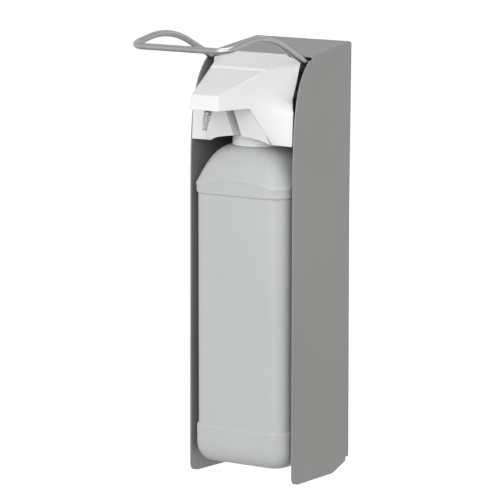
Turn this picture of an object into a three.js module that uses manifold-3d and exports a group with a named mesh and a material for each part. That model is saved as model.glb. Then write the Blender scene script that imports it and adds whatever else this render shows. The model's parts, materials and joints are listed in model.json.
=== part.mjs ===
// Wall mounted soap dispenser with a bow lever: a folded sheet housing, a pump under a white
// hood, and a translucent bottle hanging from the pump. Millimetres, +Z up, the wall is the
// plane y = 0 and the front faces -Y. Heights below are measured from the foot of the side
// plates; the whole assembly is then dropped so that z = 0 is the middle of the wall plate.
import * as THREE from 'three';
import { mergeVertices } from 'three/addons/utils/BufferGeometryUtils.js';
import Module from 'manifold-3d';

const wasm = await Module();
wasm.setup();

// ---------- driving dimensions ----------
const ORIGIN_HEIGHT = 165;          // height of the part's origin above the foot of the plates
const GAP = 0.3;                    // clearance between a carrier rail and its side plate

const HOUSING = {
  width: 90.1, height: 330, sheet: 1.2, topDepth: 54.4, topDrop: 7.1, sideDepth: 81.2, bendRadius: 2.2,
};
const SPLAY = 2.63 / HOUSING.sideDepth;   // each side plate opens out this much per mm of depth
const WALL_PLATE = { halfWidth: 43.5, thickness: 2, flange: 10, low: 9, high: 324 };

const PIVOT = { y: -16, z: 298 };   // lever axis, along X
const PRESS_RADIUS = 40;            // lever axis to presser roller
const PRESS_HALF_SWING = 13;        // degrees the roller starts above the level of the axis
const WIRE_RADIUS = 2.5;

const PUMP_Y = -56;                 // vertical axis of pump and bottle
const BARREL = { bore: 6.3, outer: 8.3, low: 196, shoulder: 209, high: 272 };
const ROD = { outer: 4, bore: 2, low: 243, high: 292 };
const HEAD = { underside: 290.6, stemLow: 282, stemRadius: 5.9, top: 302.7 };
const NECK_CAP = { outer: 21.5, low: 254.6, high: 265.4 };
const CARRIER = { low: 265.7, high: 268.7, halfWidth: 41.2, notchY: -78.3 };
const SLOT = { half: 3.75, rib: 1.5, low: 262 };   // slot for the spout in the front wall
const ARCH = { radius: 68, crown: 263.2 };          // bow-shaped lower edge of the front wall
const HOOD_SKIN = 2;
const HOOD_SCREW = { x: 33, y: -70, hole: 1.9 };
const BOTTLE = { halfWidth: 42.2, halfDepth: 33.7, corner: 14, base: 11, wall: 1.5 };
const DOME = { crease: 229.7, high: 254, neckEdge: 20.8, neckRadius: 17, mouth: 258 };

// ---------- materials ----------
const matt = (color, roughness, metalness = 0) =>
  new THREE.MeshStandardMaterial({ color, roughness, metalness });
const finish = {
  sheet: () => matt(0x9d9d9a, 0.45, 0.6),
  steel: () => matt(0xc4c4c2, 0.3, 0.9),
  whitePlastic: () => matt(0xf0f0ee, 0.5),
  greyPlastic: () => matt(0xa9aaa8, 0.55),
  naturalPlastic: () => matt(0xd2d6d6, 0.4),
  clearPlastic: () => matt(0xdfe6e8, 0.15),
  rubber: () => matt(0x2b2b2b, 0.8),
};

// ---------- shape helpers ----------
const assembly = new THREE.Group();
assembly.position.z = -ORIGIN_HEIGHT;

function add(name, geometry, material) {
  const mesh = new THREE.Mesh(geometry, material);
  mesh.name = name;
  assembly.add(mesh);
  return mesh;
}

function toSolid(geometry) {
  const bare = geometry.index ? geometry.toNonIndexed() : geometry.clone();
  bare.deleteAttribute('normal');
  bare.deleteAttribute('uv');
  const merged = mergeVertices(bare, 1e-4);
  return new wasm.Manifold(new wasm.Mesh({
    numProp: 3,
    vertProperties: new Float32Array(merged.attributes.position.array),
    triVerts: new Uint32Array(merged.index.array),
  }));
}

function toGeometry(solid) {
  const mesh = solid.getMesh();
  const geometry = new THREE.BufferGeometry();
  geometry.setAttribute('position', new THREE.BufferAttribute(mesh.vertProperties, 3));
  geometry.setIndex(new THREE.BufferAttribute(mesh.triVerts, 1));
  geometry.computeVertexNormals();
  return geometry;
}

const cut = (body, ...tools) =>
  toGeometry(tools.reduce((solid, tool) => solid.subtract(toSolid(tool)), toSolid(body)));
const join = (body, ...others) =>
  toGeometry(others.reduce((solid, other) => solid.add(toSolid(other)), toSolid(body)));

function block([x0, x1], [y0, y1], [z0, z1]) {
  const box = new THREE.BoxGeometry(x1 - x0, y1 - y0, z1 - z0);
  return box.translate((x0 + x1) / 2, (y0 + y1) / 2, (z0 + z1) / 2);
}

// Cylinder from one point to another.
function bar(from, to, radius, sides = 20, endRadius = radius) {
  const start = new THREE.Vector3(...from);
  const along = new THREE.Vector3(...to).sub(start);
  const cylinder = new THREE.CylinderGeometry(endRadius, radius, along.length(), sides);
  cylinder.translate(0, along.length() / 2, 0);
  const turn = new THREE.Quaternion().setFromUnitVectors(new THREE.Vector3(0, 1, 0), along.normalize());
  return cylinder.applyQuaternion(turn).translate(...from);
}

// Turned solid on the pump axis; the profile is a list of [radius, height].
function turned(profile, sides) {
  const closed = profile[0][0] === 0 ? profile : [...profile, profile[0]];
  const lathe = new THREE.LatheGeometry(closed.map(([r, z]) => new THREE.Vector2(r, z)), sides);
  return lathe.rotateX(Math.PI / 2).translate(0, PUMP_Y, 0);
}

// Turned ring lying along X, for bushes and rollers; the profile is a list of [radius, x].
function turnedAlongX(profile, y, z, sides = 16) {
  const points = [...profile, profile[0]].map(([r, x]) => new THREE.Vector2(r, x));
  return new THREE.LatheGeometry(points, sides).rotateZ(-Math.PI / 2).translate(0, y, z);
}

// Flat plate standing square to X, from an outline of [y, z] points.
function plateAlongX(outline, x0, x1) {
  const shape = outline instanceof THREE.Shape ? outline
    : new THREE.Shape(outline.map(([y, z]) => new THREE.Vector2(y, z)));
  const plate = new THREE.ExtrudeGeometry(shape, { depth: x1 - x0, bevelEnabled: false, curveSegments: 9 });
  const yzx = new THREE.Matrix4().makeBasis(
    new THREE.Vector3(0, 1, 0), new THREE.Vector3(0, 0, 1), new THREE.Vector3(1, 0, 0));
  return plate.applyMatrix4(yzx).translate(x0, 0, 0);
}

// Round wire through corner points, each corner rounded by its own tangent length.
function wirePath(corners) {
  const path = new THREE.CurvePath();
  let last = corners[0].at.clone();
  for (let i = 1; i < corners.length - 1; i += 1) {
    const { at, tangent } = corners[i];
    const back = corners[i - 1].at.clone().sub(at).setLength(tangent).add(at);
    const on = corners[i + 1].at.clone().sub(at).setLength(tangent).add(at);
    path.add(new THREE.LineCurve3(last, back));
    path.add(new THREE.QuadraticBezierCurve3(back, at.clone(), on));
    last = on;
  }
  path.add(new THREE.LineCurve3(last, corners[corners.length - 1].at.clone()));
  return path;
}

function sweep(path, radius, sides, steps) {
  const round = new THREE.Shape();
  for (let i = 0; i < sides; i += 1) {
    const angle = (i / sides) * 2 * Math.PI;
    const [x, y] = [radius * Math.cos(angle), radius * Math.sin(angle)];
    if (i === 0) round.moveTo(x, y); else round.lineTo(x, y);
  }
  round.closePath();
  return new THREE.ExtrudeGeometry(round, { steps, extrudePath: path, bevelEnabled: false });
}

// Opens a straight-sided shape out sideways, as the side plates of the housing do.
function splayed(geometry) {
  const position = geometry.attributes.position;
  for (let i = 0; i < position.count; i += 1) {
    const x = position.getX(i);
    position.setX(i, x + Math.sign(x) * SPLAY * -position.getY(i));
  }
  return geometry;
}

const point = (x, y, z) => new THREE.Vector3(x, y, z);
const sides = [['right', 1], ['left', -1]];

// ---------- housing: one sheet folded into a top and two side plates ----------
function sideOutline() {
  const { height, topDepth, topDrop, sideDepth } = HOUSING;
  const outline = new THREE.Shape();
  outline.moveTo(0, height);
  outline.lineTo(-topDepth, height - topDrop);
  outline.bezierCurveTo(-76, 308, -80.5, 285, -sideDepth, 230);
  outline.lineTo(-82.3, 8);
  outline.quadraticCurveTo(-82.3, 0, -74, 0);
  outline.lineTo(-25.6, 0);
  outline.lineTo(-6.6, 6.4);
  outline.lineTo(-6, 18);
  outline.closePath();
  return outline;
}

function foldedHousing() {
  const { width, height, sheet, topDepth, topDrop, bendRadius } = HOUSING;
  const half = width / 2;
  const solidBody = plateAlongX(sideOutline(), -half, half);
  const roundTop = new THREE.Shape();
  roundTop.moveTo(-half, -5);
  roundTop.lineTo(half, -5);
  roundTop.lineTo(half, height - bendRadius);
  roundTop.absarc(half - bendRadius, height - bendRadius, bendRadius, 0, Math.PI / 2);
  roundTop.absarc(bendRadius - half, height - bendRadius, bendRadius, Math.PI / 2, Math.PI);
  roundTop.closePath();
  const prism = new THREE.ExtrudeGeometry(roundTop, { depth: 84, bevelEnabled: false, curveSegments: 5 });
  prism.rotateX(Math.PI / 2);
  const position = prism.attributes.position;
  for (let i = 0; i < position.count; i += 1) {
    // Only the upper points lean down towards the front, with the slope of the top sheet.
    if (position.getZ(i) > height / 2) {
      position.setZ(i, position.getZ(i) + (topDrop / topDepth) * position.getY(i));
    }
  }
  const outer = toSolid(solidBody).intersect(toSolid(prism));
  const roof = height - sheet - 0.1;
  const hollow = plateAlongX([
    [2, roof], [-topDepth, roof - topDrop], [-topDepth - 0.01, height + 5], [-95, height + 5],
    [-95, -5], [2, -5]], sheet - half, half - sheet);
  return splayed(toGeometry(outer.subtract(toSolid(hollow))));
}
add('housing_shell', foldedHousing(), finish.sheet());

// Plate against the wall, with four screw holes and a flange up each side plate.
const screwHoles = [[30, 55], [-30, 55], [30, 262], [-30, 262]];
function wallPlate() {
  const { halfWidth, thickness, flange, low: foot, high: head } = WALL_PLATE;
  const tray = cut(
    block([-halfWidth, halfWidth], [-flange, 0], [foot, head]),
    block([thickness - halfWidth, halfWidth - thickness], [-flange - 1, -thickness], [foot - 1, head + 1]));
  return cut(splayed(tray), ...screwHoles.map(([x, z]) => bar([x, 1, z], [x, -4, z], 2.6, 12)));
}
add('wall_plate', wallPlate(), finish.sheet());

// ---------- lever bearings ----------
const BRACKET = {
  back: -2.3, front: -4.3, earOuter: 37, earInner: 35, low: 284, high: 312, screwX: 22, screwZ: 291,
};
add('lever_bracket', cut(
  block([-BRACKET.earOuter, BRACKET.earOuter], [-25, BRACKET.back], [BRACKET.low, BRACKET.high]),
  block([-BRACKET.earInner, BRACKET.earInner], [-30, BRACKET.front], [BRACKET.low - 5, BRACKET.high + 5]),
  bar([-40, PIVOT.y, PIVOT.z], [40, PIVOT.y, PIVOT.z], 4.5, 24),
  ...sides.map(([, s]) =>
    bar([s * BRACKET.screwX, 0, BRACKET.screwZ], [s * BRACKET.screwX, -8, BRACKET.screwZ], 1.9, 14))),
finish.steel());

for (const [side, s] of sides) {
  const [screwX, screwZ] = [s * BRACKET.screwX, BRACKET.screwZ];
  add(`bracket_screw_${side}`, join(
    bar([screwX, -2.4, screwZ], [screwX, -5, screwZ], 1.6, 14),
    bar([screwX, -4.6, screwZ], [screwX, -6.6, screwZ], 3.2, 14)), finish.steel());
  const bush = turnedAlongX([[2.8, 32.9], [6, 32.9], [6, 34.7], [4.2, 34.7], [4.2, 37.6], [2.8, 37.6]],
    PIVOT.y, PIVOT.z);
  if (s < 0) bush.rotateZ(Math.PI).translate(0, 2 * PIVOT.y, 0);
  add(`pivot_bush_${side}`, bush, finish.whitePlastic());
  add(`rest_buffer_${side}`, bar([s * 9.1, -40, 322.5], [s * 9.1, -40, 309.6], 4, 16, 3), finish.rubber());
}

// ---------- lever: wire bow, rocker and presser roller ----------
const BOW = {
  inner: 24, hip: 41.4, shoulder: 43.8, humpY: -112, humpZ: 343.8, frontY: -160, frontZ: 334.5,
};
const bowHalf = (s) => [
  { at: point(s * BOW.inner, PIVOT.y, PIVOT.z), tangent: 0 },
  { at: point(s * BOW.hip, PIVOT.y, PIVOT.z), tangent: 5 },
  { at: point(s * BOW.shoulder, BOW.humpY, BOW.humpZ), tangent: 26 },
  { at: point(s * BOW.shoulder, BOW.frontY, BOW.frontZ), tangent: 12 },
];
const bowPath = wirePath([...bowHalf(1), ...bowHalf(-1).reverse()]);
add('lever_bow', sweep(bowPath, WIRE_RADIUS, 8, 84), finish.steel());

const swing = THREE.MathUtils.degToRad(PRESS_HALF_SWING);
const ROLLER = {
  y: PIVOT.y - PRESS_RADIUS * Math.cos(swing),
  z: PIVOT.z + PRESS_RADIUS * Math.sin(swing),
  radius: 4,
};
// Outline round two circles joined by their outer tangents, in the Y-Z plane.
function linkOutline(rear, front, rearRadius, frontRadius) {
  const direction = Math.atan2(front[1] - rear[1], front[0] - rear[0]);
  const span = Math.hypot(front[0] - rear[0], front[1] - rear[1]);
  const lean = Math.acos((rearRadius - frontRadius) / span);
  const outline = new THREE.Shape();
  outline.absarc(rear[0], rear[1], rearRadius, direction + lean, direction - lean + 2 * Math.PI);
  outline.absarc(front[0], front[1], frontRadius, direction - lean, direction + lean);
  outline.closePath();
  return outline;
}
const rockerArm = (x0, x1) => plateAlongX(
  linkOutline([PIVOT.y, PIVOT.z], [ROLLER.y, ROLLER.z], 6.5, 3.4), x0, x1);
add('lever_rocker', cut(
  join(bar([-32.3, PIVOT.y, PIVOT.z], [32.3, PIVOT.y, PIVOT.z], 6.5, 16),
    rockerArm(7.7, 10.7), rockerArm(-10.7, -7.7)),
  bar([-40, PIVOT.y, PIVOT.z], [40, PIVOT.y, PIVOT.z], 2.85, 12),
  bar([-14, ROLLER.y, ROLLER.z], [14, ROLLER.y, ROLLER.z], 1.95, 10),
  ...sides.map(([, s]) => bar([s * 28, PIVOT.y, PIVOT.z], [s * 28, PIVOT.y, PIVOT.z + 9], 1.9, 8))),
finish.greyPlastic());
for (const [side, s] of sides) {
  add(`rocker_screw_${side}`,
    bar([s * 28, PIVOT.y, PIVOT.z + 2.9], [s * 28, PIVOT.y, PIVOT.z + 6], 1.6, 12), finish.steel());
}
add('presser_roller', turnedAlongX([[1.9, -7.3], [ROLLER.radius, -7.3], [ROLLER.radius, 7.3], [1.9, 7.3]],
  ROLLER.y, ROLLER.z), finish.whitePlastic());
add('roller_pin', bar([-11.4, ROLLER.y, ROLLER.z], [11.4, ROLLER.y, ROLLER.z], 1.6, 14), finish.steel());

// ---------- rails and carrier that hold the pump and bottle ----------
for (const [side, s] of sides) {
  const inner = HOUSING.width / 2 - HOUSING.sheet - GAP;
  const rail = join(
    block([inner - 1.2, inner], [-74, -22], [263.4, 276]),
    block([38, inner - 0.5], [-74, -22], [263.4, 265.3]));
  if (s < 0) rail.rotateZ(Math.PI).translate(0, -96, 0);
  add(`carrier_rail_${side}`, splayed(rail), finish.steel());
}

// Carrier plate with the sloping slotted front wall under the hood.
const FRONT_WALL = { lowY: -83.3, lowZ: 257.6, highY: -99.8, highZ: 290.6, thickness: 2 };
// Slab in the slope of the front wall; proud is how far it starts in front of the wall's face.
function slopingSlab(lowHalf, highHalf, thickness, proud = 0) {
  const shape = new THREE.Shape([
    new THREE.Vector2(-lowHalf, 0), new THREE.Vector2(lowHalf, 0),
    new THREE.Vector2(highHalf, 1), new THREE.Vector2(-highHalf, 1)]);
  const wall = new THREE.ExtrudeGeometry(shape, { depth: thickness, bevelEnabled: false });
  const position = wall.attributes.position;
  for (let i = 0; i < position.count; i += 1) {
    const [x, rise, depth] = [position.getX(i), position.getY(i), position.getZ(i)];
    const front = THREE.MathUtils.lerp(FRONT_WALL.lowY, FRONT_WALL.highY, rise);
    position.setXYZ(i, x, front - proud + thickness - depth,
      THREE.MathUtils.lerp(FRONT_WALL.lowZ, FRONT_WALL.highZ, rise));
  }
  return toSolid(wall);
}
const carrierPlate = join(
  block([-CARRIER.halfWidth, CARRIER.halfWidth], [-78, -26], [CARRIER.low, CARRIER.high]),
  block([-22, 22], [-87, -77], [CARRIER.low, CARRIER.high]));
const screwHole = (s) =>
  bar([s * HOOD_SCREW.x, HOOD_SCREW.y, 260], [s * HOOD_SCREW.x, HOOD_SCREW.y, 275], HOOD_SCREW.hole, 14);
const neckArch = bar([0, -100, ARCH.crown - ARCH.radius], [0, -70, ARCH.crown - ARCH.radius], ARCH.radius, 72);
// Guide ribs behind both sides of the slot, cut back to the slope of the wall.
const slotRibs = slopingSlab(SLOT.half + SLOT.rib, SLOT.half + SLOT.rib, 40)
  .intersect(toSolid(block([-10, 10], [-102, CARRIER.notchY], [SLOT.low, FRONT_WALL.highZ])));
const carrier = toSolid(carrierPlate)
  .add(slopingSlab(26.8, 18.8, FRONT_WALL.thickness))
  .add(slotRibs)
  .subtract(toSolid(bar([0, PUMP_Y, 260], [0, PUMP_Y, 275], BARREL.outer + 0.6, 32)))
  .subtract(toSolid(block([-SLOT.half, SLOT.half], [-110, CARRIER.notchY + 0.1], [250, 295])))
  .subtract(toSolid(neckArch))
  .subtract(toSolid(screwHole(1)))
  .subtract(toSolid(screwHole(-1)));
add('pump_carrier', toGeometry(carrier), finish.whitePlastic());

// ---------- hood: a thin moulded shell with a beak over the spout ----------
const HOOD = {
  facetHalf: 25, facetBack: point(25, -55.9, 322.3), facetFront: point(25, -86.1, 313.2),
  noseTop: point(12, -128, 297.3), noseLow: point(13.2, -129.8, 286.4),
  kneeTop: point(20.4, -101, 307.5), kneeLow: point(22.5, -101.5, 286.4),
  cheekLow: point(28.1, -81.3, 257.4), shoulder: point(37.5, -58.5, 319.2),
};

const lerp = (a, b, t) => a.clone().lerp(b, t);
const bend = (a, control, b, t) => new THREE.QuadraticBezierCurve3(a, control, b).getPoint(t);

// The point a share v of the way along a list of stops, with equal shares for each leg.
function alongStops(stops, v) {
  const at = v * (stops.length - 1);
  const i = Math.min(Math.floor(at), stops.length - 2);
  return lerp(stops[i], stops[i + 1], at - i);
}
// The cheek runs from its inner edge (foot, knee, crease) through control points that make it
// sweep hollow, to its outer edge beside the side plate, which steps in where the lever slot begins.
const CHEEK = {
  inner: [HOOD.cheekLow, HOOD.kneeLow, HOOD.kneeTop, HOOD.facetFront, HOOD.shoulder],
  control: [point(36, -81.3, 257.4), point(28.5, -84.5, 284), point(28, -80.5, 299),
    point(31, -72, 310), point(38.5, -59.5, 318.9)],
  outer: [point(45.9, -81.3, 257.4), point(45.9, -79.3, 283), point(39.5, -70.4, 291),
    point(39.5, -64.6, 305), point(39.5, -60.5, 318.4)],
};

// A grid of quads from a function of u and v, as one flat list of triangles.
function patch(across, up, surface) {
  const triangles = [];
  for (let i = 0; i < across; i += 1) {
    for (let j = 0; j < up; j += 1) {
      const [u0, u1, v0, v1] = [i / across, (i + 1) / across, j / up, (j + 1) / up];
      const [a, b, c, d] = [surface(u0, v0), surface(u1, v0), surface(u1, v1), surface(u0, v1)];
      triangles.push([a, b, c], [a, c, d]);
    }
  }
  return triangles;
}

const mirrored = (triangles) => triangles.map((corners) =>
  [...corners].reverse().map((p) => point(-p.x, p.y, p.z)));

// Gives an open sheet of triangles a thickness inwards and closes it round its edge.
function thicken(triangles, thickness) {
  const points = [];
  const lookup = new Map();
  const indexOf = (p) => {
    const key = [p.x, p.y, p.z].map((n) => Math.round(n * 1000)).join(',');
    if (!lookup.has(key)) { lookup.set(key, points.length); points.push(p.clone()); }
    return lookup.get(key);
  };
  const faces = triangles.map((corners) => corners.map(indexOf))
    .filter(([a, b, c]) => a !== b && b !== c && c !== a);
  const normals = points.map(() => point(0, 0, 0));
  for (const [a, b, c] of faces) {
    const normal = points[b].clone().sub(points[a]).cross(points[c].clone().sub(points[a])).normalize();
    for (const k of [a, b, c]) normals[k].add(normal);
  }
  const inner = points.map((p, k) => p.clone().addScaledVector(normals[k].normalize(), -thickness));
  const count = points.length;
  const indices = [];
  const edges = new Map();
  for (const [a, b, c] of faces) {
    indices.push(a, b, c, count + a, count + c, count + b);
    for (const [p, q] of [[a, b], [b, c], [c, a]]) {
      if (edges.has(`${q},${p}`)) edges.delete(`${q},${p}`); else edges.set(`${p},${q}`, [p, q]);
    }
  }
  for (const [p, q] of edges.values()) indices.push(q, p, count + p, q, count + p, count + q);
  const geometry = new THREE.BufferGeometry();
  geometry.setAttribute('position', new THREE.Float32BufferAttribute(
    [...points, ...inner].flatMap((p) => [p.x, p.y, p.z]), 3));
  geometry.setIndex(indices);
  return geometry;
}

function hoodSkin() {
  const centre = (p) => point(0, p.y, p.z);
  const right = [
    // front face of the nose
    ...patch(2, 2, (u, v) => lerp(lerp(centre(HOOD.noseLow), HOOD.noseLow, u),
      lerp(centre(HOOD.noseTop), HOOD.noseTop, u), v)),
    // long slope from the nose, in two lengths so that its edge meets the knee
    ...patch(2, 2, (u, v) => lerp(lerp(centre(HOOD.noseTop), HOOD.noseTop, u),
      lerp(centre(HOOD.kneeTop), HOOD.kneeTop, u), v)),
    ...patch(2, 2, (u, v) => lerp(lerp(centre(HOOD.kneeTop), HOOD.kneeTop, u),
      lerp(centre(HOOD.facetFront), HOOD.facetFront, u), v)),
    // flat facet behind the slope, and the small bevel beside it
    ...patch(2, 2, (u, v) => lerp(lerp(centre(HOOD.facetFront), HOOD.facetFront, u),
      lerp(centre(HOOD.facetBack), HOOD.facetBack, u), v)),
    ...patch(2, 2, (u, v) => lerp(HOOD.facetFront,
      lerp(HOOD.facetBack, HOOD.shoulder, u), v)),
    // side of the beak
    ...patch(2, 2, (u, v) => lerp(lerp(HOOD.noseLow, HOOD.kneeLow, u),
      lerp(HOOD.noseTop, HOOD.kneeTop, u), v)),
    // cheek, swept hollow out to the side plate
    ...patch(5, 8, (u, v) =>
      bend(alongStops(CHEEK.inner, v), alongStops(CHEEK.control, v), alongStops(CHEEK.outer, v), u)),
  ];
  return thicken([...right, ...mirrored(right)], HOOD_SKIN);
}
const hoodBoss = (s) => cut(
  bar([s * HOOD_SCREW.x, HOOD_SCREW.y, 269], [s * HOOD_SCREW.x, HOOD_SCREW.y, 304], 3.6, 16, 2.6),
  bar([s * HOOD_SCREW.x, HOOD_SCREW.y, 268], [s * HOOD_SCREW.x, HOOD_SCREW.y, 284], HOOD_SCREW.hole, 14));
add('front_hood', join(hoodSkin(), hoodBoss(1), hoodBoss(-1)), finish.whitePlastic());
for (const [side, s] of sides) {
  const [x, y] = [s * HOOD_SCREW.x, HOOD_SCREW.y];
  add(`hood_screw_${side}`, join(
    bar([x, y, 282], [x, y, 264.6], 1.6, 14), bar([x, y, 265.4], [x, y, 263.3], 3.2, 14)), finish.steel());
}

// ---------- pump: barrel, valves, piston, spring and head ----------
const { bore, outer, low, shoulder, high } = BARREL;
add('pump_barrel', turned([
  [4.2, low], [6.2, low], [outer, low + 14], [outer, 260.3], [15.5, 260.3], [15.5, 262.8],
  [outer, 262.8], [outer, 268.9], [7.6, 268.9], [7.6, 270.8], [outer, 270.8], [outer, high],
  [bore, high], [bore, shoulder], [4.2, shoulder]], 20), finish.whitePlastic());

const clipGap = block([-3, 3], [PUMP_Y - 14, PUMP_Y - 5], [268, 272]);
add('barrel_clip', cut(turned([[7.9, 269.1], [12, 269.1], [12, 270.5], [7.9, 270.5]], 20), clipGap),
  finish.steel());
add('neck_cap', turned([
  [19.2, NECK_CAP.low], [NECK_CAP.outer, NECK_CAP.low], [NECK_CAP.outer, NECK_CAP.high - 1],
  [NECK_CAP.outer - 1, NECK_CAP.high], [8.9, NECK_CAP.high], [8.9, 263.1], [19.2, 263.1]], 28),
finish.naturalPlastic());
add('neck_gasket', turned([[11, 258.3], [15.5, 258.3], [15.5, 260], [11, 260]], 20), finish.rubber());

add('suction_seat', turned([
  [2.2, 186], [2.7, 186], [2.7, 192.5], [6, 192.5], [6, 195.7], [3.9, 195.7], [3.9, 200], [2.2, 200]], 14),
finish.whitePlastic());
add('suction_ball', new THREE.SphereGeometry(3.2, 12, 8).rotateX(Math.PI / 2)
  .translate(0, PUMP_Y, 202.8), finish.steel());
add('dip_tube', turned([[3, 20], [4, 20], [4, 192.2], [3, 192.2]], 14), finish.naturalPlastic());

add('piston_rod', turned([[ROD.bore, ROD.low], [ROD.outer, ROD.low], [ROD.outer, ROD.high],
  [ROD.bore, ROD.high]], 16), finish.whitePlastic());
add('piston', turned([[4.3, ROD.low], [5.9, ROD.low], [5.9, 245.7], [5, 245.7], [5, 248.3], [5.9, 248.3],
  [5.9, 252], [4.3, 252]], 18), finish.greyPlastic());
add('piston_seal', turned([[5.3, 246], [6.05, 246], [6.05, 248], [5.3, 248]], 18), finish.rubber());

const SPRING = { radius: 4.9, wire: 0.45, low: 209.8, high: 242.2, turns: 7, stepsPerTurn: 10 };
class Helix extends THREE.Curve {
  getPoint(t, target = new THREE.Vector3()) {
    const angle = t * SPRING.turns * 2 * Math.PI;
    return target.set(SPRING.radius * Math.cos(angle), PUMP_Y + SPRING.radius * Math.sin(angle),
      THREE.MathUtils.lerp(SPRING.low, SPRING.high, t));
  }
}
add('pump_spring', sweep(new Helix(), SPRING.wire, 4, SPRING.turns * SPRING.stepsPerTurn), finish.steel());

add('discharge_ball', new THREE.SphereGeometry(2.5, 10, 6).rotateX(Math.PI / 2)
  .translate(0, PUMP_Y, 293.9), finish.steel());
const SPOUT_LEVEL = 296;
const headBody = join(
  turned([[0, HEAD.stemLow], [HEAD.stemRadius, HEAD.stemLow], [HEAD.stemRadius, HEAD.underside],
    [9.4, HEAD.underside], [11, 292.2], [11, 297], [7.3, 299.5], [7.3, HEAD.top], [0, HEAD.top]], 20),
  bar([0, PUMP_Y - 5, SPOUT_LEVEL], [0, PUMP_Y - 18, SPOUT_LEVEL], 4.2, 20));
add('pump_head', cut(headBody,
  turned([[0, 280], [4.3, 280], [4.3, 292.3], [0, 292.3]], 16),
  turned([[0, 292.2], [3.2, 292.2], [3.2, 299], [0, 299]], 12),
  bar([0, PUMP_Y, SPOUT_LEVEL], [0, PUMP_Y - 20, SPOUT_LEVEL], 1.6, 14),
  bar([0, PUMP_Y - 12, SPOUT_LEVEL], [0, PUMP_Y - 20, SPOUT_LEVEL], 2.5, 16)), finish.whitePlastic());

const SPOUT_TIP = point(0, -127.6, 271.6);
const SPOUT_BEND = point(0, -120, 295.4);
const spoutDown = SPOUT_TIP.clone().sub(SPOUT_BEND).normalize();
const onSpout = (distance) => SPOUT_BEND.clone().addScaledVector(spoutDown, distance).toArray();
const spoutPath = (startY, dropLength) => wirePath([
  { at: point(0, startY, SPOUT_LEVEL), tangent: 0 },
  { at: SPOUT_BEND, tangent: 6 },
  { at: point(...onSpout(dropLength)), tangent: 0 },
]);
add('spout_tube', cut(sweep(spoutPath(PUMP_Y - 12.4, 14), 2.1, 8, 20),
  sweep(spoutPath(PUMP_Y - 12, 14.6), 1.3, 6, 20)), finish.steel());
add('spout_tip', cut(bar(onSpout(10), onSpout(25), 2.9, 16, 1.95),
  bar(onSpout(9), onSpout(14.4), 2.4, 16), bar(onSpout(14), onSpout(26), 1.2, 12)), finish.clearPlastic());

// ---------- bottle: rounded rectangular body, domed shoulder and round neck ----------
const [ARC_STEPS, SIDE_STEPS] = [6, 3];
// One section as plan points: along each corner arc, then evenly along the straight beside it.
function sectionPlan(halfWidth, halfDepth, radius) {
  const signs = [[1, 1], [-1, 1], [-1, -1], [1, -1]];
  const onCorner = ([sx, sy], angle) => new THREE.Vector2(
    sx * (halfWidth - radius) + radius * Math.cos(angle), sy * (halfDepth - radius) + radius * Math.sin(angle));
  return signs.flatMap((sign, quarter) => {
    const start = quarter * Math.PI / 2;
    const arc = Array.from({ length: ARC_STEPS + 1 }, (_, k) =>
      onCorner(sign, start + (k / ARC_STEPS) * Math.PI / 2));
    const next = onCorner(signs[(quarter + 1) % 4], start + Math.PI / 2);
    const straight = Array.from({ length: SIDE_STEPS - 1 }, (_, k) =>
      arc[ARC_STEPS].clone().lerp(next, (k + 1) / SIDE_STEPS));
    return [...arc, ...straight];
  });
}
const level = (plan, z) => plan.map((p) => point(p.x, PUMP_Y + p.y, z));

// Rows of the bottle's surface from the middle of its foot to its mouth. Inset moves them inwards.
function bottleRows(inset) {
  const { halfWidth, halfDepth, corner, base } = BOTTLE;
  const body = (pull, z) => level(
    sectionPlan(halfWidth - pull - inset, halfDepth - pull - inset, Math.max(corner - pull - inset, 3)), z);
  const panel = 1.1;
  const foot = [body(7, base + inset), body(2.5, base + 1.6 + inset), body(0, base + 7 + inset)];
  const bands = [body(0, 39), body(panel, 41.5), body(panel, 217), body(0, 219.5)];
  // The dome meets the straight sides along a line that is highest in the middle of each side.
  const rim = sectionPlan(halfWidth - inset, halfDepth - inset, corner - inset);
  const crease = rim.map((p) =>
    DOME.crease - inset - 0.0045 * p.x ** 2 - 0.00625 * (p.y ** 2 - halfDepth ** 2));
  const domeTop = DOME.high - inset;
  const dome = Array.from({ length: 7 }, (_, k) => {
    const t = k / 6;
    const inward = 2 * t * (1 - t) * 0.45 + t * t;
    const rise = 2 * t * (1 - t) * 0.97 + t * t;
    return rim.map((p, i) => {
      const edge = p.clone().setLength(DOME.neckEdge - inset).lerp(p, 1 - inward);
      return point(edge.x, PUMP_Y + edge.y, THREE.MathUtils.lerp(crease[i], domeTop, rise));
    });
  });
  const round = (radius, z) => level(rim.map((p) => p.clone().setLength(radius - inset)), z);
  const neck = [round(DOME.neckRadius, domeTop + 0.2), round(DOME.neckRadius, DOME.mouth)];
  return [...foot, ...bands, ...dome, ...neck];
}
function bottle() {
  const rows = [...bottleRows(0), ...bottleRows(BOTTLE.wall).reverse()];
  const count = rows[0].length;
  const vertices = rows.flat();
  const outsideCentre = vertices.push(point(0, PUMP_Y, BOTTLE.base)) - 1;
  const insideCentre = vertices.push(point(0, PUMP_Y, BOTTLE.base + BOTTLE.wall)) - 1;
  const lastRow = (rows.length - 1) * count;
  const indices = [];
  for (let k = 0; k < count; k += 1) {
    const next = (k + 1) % count;
    for (let row = 0; row < lastRow; row += count) {
      indices.push(row + k, row + next, row + count + next, row + k, row + count + next, row + count + k);
    }
    indices.push(outsideCentre, next, k, insideCentre, lastRow + k, lastRow + next);
  }
  const geometry = new THREE.BufferGeometry();
  geometry.setAttribute('position', new THREE.Float32BufferAttribute(
    vertices.flatMap((p) => [p.x, p.y, p.z]), 3));
  geometry.setIndex(indices);
  return geometry;
}
add('bottle', bottle(), finish.naturalPlastic());

export default assembly;
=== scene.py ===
# %% [markdown]
# A wall mounted soap dispenser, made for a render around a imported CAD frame.
# The frame brings every working piece at its real size and place. This lesson makes the pieces
# that the eye reads first again as fine surfaces, and gives every piece a finish.

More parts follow.
